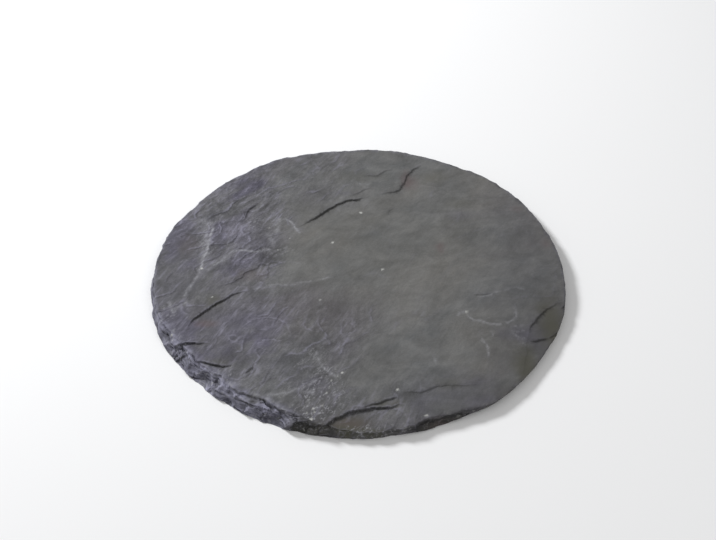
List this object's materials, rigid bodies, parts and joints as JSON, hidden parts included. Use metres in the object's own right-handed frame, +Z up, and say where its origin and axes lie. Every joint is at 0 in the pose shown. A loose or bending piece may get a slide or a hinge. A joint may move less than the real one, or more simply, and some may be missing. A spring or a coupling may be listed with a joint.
{
  "type": "round slate slab",
  "caption": "Round slab of riven slate with a hand-chipped, bevelled edge, a split-faced top with broken layers, and a flat underside to rest on.",
  "frame": {"origin": "on the underside, at the middle of the outline's box", "axes": "+Z up out of the cleaved top, the slab's shortest extent; -Y towards the side with the broken front ledge, +X towards the side with the split flake"},
  "size_m": [0.2984, 0.298, 0.009],
  "materials": {
    "slate": "matt riven stone with a faint satin sheen"
  },
  "bodies": {
    "root": {"slate_slab": "slate"}
  },
  "joints": []
}
